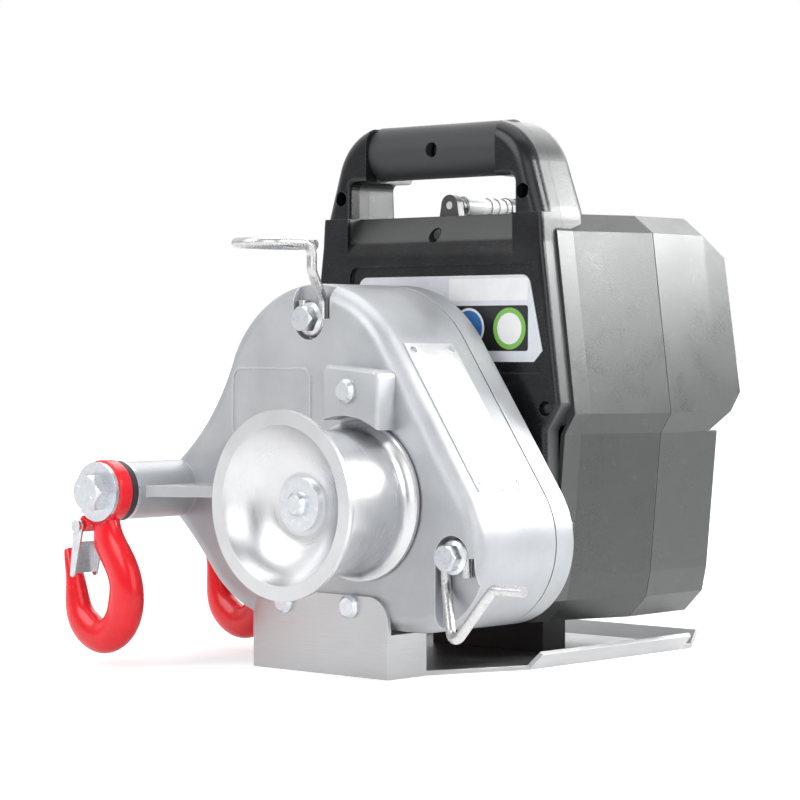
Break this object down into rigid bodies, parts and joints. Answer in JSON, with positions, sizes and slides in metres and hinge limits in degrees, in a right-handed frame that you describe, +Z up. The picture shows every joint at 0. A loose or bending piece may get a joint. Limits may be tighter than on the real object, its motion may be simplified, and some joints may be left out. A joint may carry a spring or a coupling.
{
  "type": "capstan winch",
  "caption": "Battery capstan winch with a flared drum, cast gearbox, swinging red hooks, wire rope guides, folded base and carrying handle.",
  "frame": {"origin": "on the floor, under the drum axis, in the plane of the gearbox's front face", "axes": "+Z up, +Y from the drum back to the battery, +X to the right seen from the drum"},
  "size_m": [0.2962, 0.3105, 0.299],
  "materials": {
    "cast_aluminium": "fine blasted casting, satin",
    "machined_aluminium": "turned bright",
    "gasket_rubber": "matte",
    "zinc_steel": "zinc plated",
    "plate_aluminium": "satin, blank",
    "bright_wire": "bright drawn wire",
    "hardened_steel": "ground",
    "spring_steel": "drawn",
    "bronze": "satin",
    "fibre": "matte",
    "red_paint": "glossy powder coat",
    "stainless_sheet": "brushed",
    "black_rubber": "satin",
    "black_plastic": "semi gloss",
    "label_film": "satin film",
    "grip_plastic": "fine grained",
    "grey_plastic": "fine grained satin",
    "clear_sleeve": "ribbed, bright",
    "battery_case": "satin"
  },
  "bodies": {
    "frame": {"gearbox_housing": "cast_aluminium", "gearbox_rear_casting": "cast_aluminium", "gearbox_gasket": "gasket_rubber", "casting_screws": "zinc_steel", "rating_plate": "plate_aluminium", "rating_plate_rivets": "zinc_steel", "drum_shaft_seal": "gasket_rubber", "gearbox_bearings": "hardened_steel", "rope_stripper": "cast_aluminium", "rope_stripper_screw": "zinc_steel", "upper_rope_guide": "bright_wire", "lower_rope_guide": "bright_wire", "rope_guide_bolts": "zinc_steel", "hook_inner_washers": "zinc_steel", "hook_friction_washers": "fibre", "hook_bushings": "bronze", "hook_outer_washers": "zinc_steel", "hook_bolts": "zinc_steel", "base_plate": "stainless_sheet", "base_plate_screws": "zinc_steel", "support_block": "black_rubber", "front_panel": "black_plastic", "label": "label_film", "handle_rear_half": "grey_plastic", "handle_grip_sleeve": "grip_plastic", "panel_screws": "black_plastic", "middle_shell": "grey_plastic", "hinge_pin": "zinc_steel", "latch_rod": "zinc_steel", "latch_spring": "spring_steel", "motor_end_plate": "machined_aluminium", "motor_stator": "hardened_steel", "motor_rear_bell": "machined_aluminium", "motor_bearings": "hardened_steel", "controller": "battery_case", "battery_pack": "battery_case", "battery_socket": "black_plastic"},
    "drum": {"capstan_drum": "machined_aluminium", "drum_washer": "zinc_steel", "drum_screw": "zinc_steel", "drum_shaft": "hardened_steel", "shaft_keys": "hardened_steel", "output_gear": "hardened_steel"},
    "intermediate": {"intermediate_shaft": "hardened_steel", "intermediate_gear": "hardened_steel"},
    "rotor": {"motor_pinion": "hardened_steel", "motor_rotor": "hardened_steel", "motor_shaft": "hardened_steel", "motor_fan": "black_plastic"},
    "front_hook_swing": {"front_hook": "red_paint", "front_hook_latch_pin": "zinc_steel", "front_hook_latch_spring": "spring_steel"},
    "front_safety_latch": {"front_hook_latch": "zinc_steel"},
    "rear_hook_swing": {"rear_hook": "red_paint", "rear_hook_latch_pin": "zinc_steel", "rear_hook_latch_spring": "spring_steel"},
    "rear_safety_latch": {"rear_hook_latch": "zinc_steel"},
    "cover": {"rear_cover": "grey_plastic"},
    "latch_slide": {"latch_sleeve": "clear_sleeve"},
    "rocker": {"switch_rocker": "black_plastic"}
  },
  "joints": [
    {"name": "drum_spin", "type": "hinge", "parent": "frame", "child": "drum", "pos_m": [0, 0, 0.093], "axis": [0, 1, 0], "continuous": true},
    {"name": "intermediate_spin", "type": "hinge", "parent": "frame", "child": "intermediate", "pos_m": [-0.05742, 0, 0.09916], "axis": [0, 1, 0], "continuous": true},
    {"name": "rotor_spin", "type": "hinge", "parent": "frame", "child": "rotor", "pos_m": [-0.029, 0, 0.138], "axis": [0, 1, 0], "continuous": true},
    {"name": "front_hook_hinge", "type": "hinge", "parent": "frame", "child": "front_hook_swing", "pos_m": [-0.14, -0.05315, 0.095], "axis": [0, 1, 0], "range_deg": [-75, 110]},
    {"name": "front_latch_hinge", "type": "hinge", "parent": "front_hook_swing", "child": "front_safety_latch", "pos_m": [-0.15335, -0.05315, 0.07587], "axis": [0, -1, 0], "range_deg": [0, 30], "stiffness_Nm_per_rad": 0.05, "springref_deg": -34.38},
    {"name": "rear_hook_hinge", "type": "hinge", "parent": "frame", "child": "rear_hook_swing", "pos_m": [-0.14, 0.05515, 0.095], "axis": [0, 1, 0], "range_deg": [-12, 110]},
    {"name": "rear_latch_hinge", "type": "hinge", "parent": "rear_hook_swing", "child": "rear_safety_latch", "pos_m": [-0.15335, 0.05515, 0.07587], "axis": [0, -1, 0], "range_deg": [0, 30], "stiffness_Nm_per_rad": 0.05, "springref_deg": -34.38},
    {"name": "cover_hinge", "type": "hinge", "parent": "frame", "child": "cover", "pos_m": [-0.148, 0.1603, 0.14], "axis": [0, 0, 1], "range_deg": [0, 110]},
    {"name": "latch_sleeve_slide", "type": "slide", "parent": "frame", "child": "latch_slide", "axis": [0, -1, 0], "range_m": [0, 0.006], "stiffness_N_per_m": 400, "springref_m": -0.005, "deforming": ["latch_spring"]},
    {"name": "rocker_tilt", "type": "hinge", "parent": "frame", "child": "rocker", "pos_m": [-0.1312, 0.136, 0.19], "axis": [0, 1, 0], "range_deg": [-8, 8]}
  ],
  "couplings": [
    {"joint": "intermediate_spin", "follows": "drum_spin", "ratio": -5},
    {"joint": "rotor_spin", "follows": "drum_spin", "ratio": 30}
  ]
}
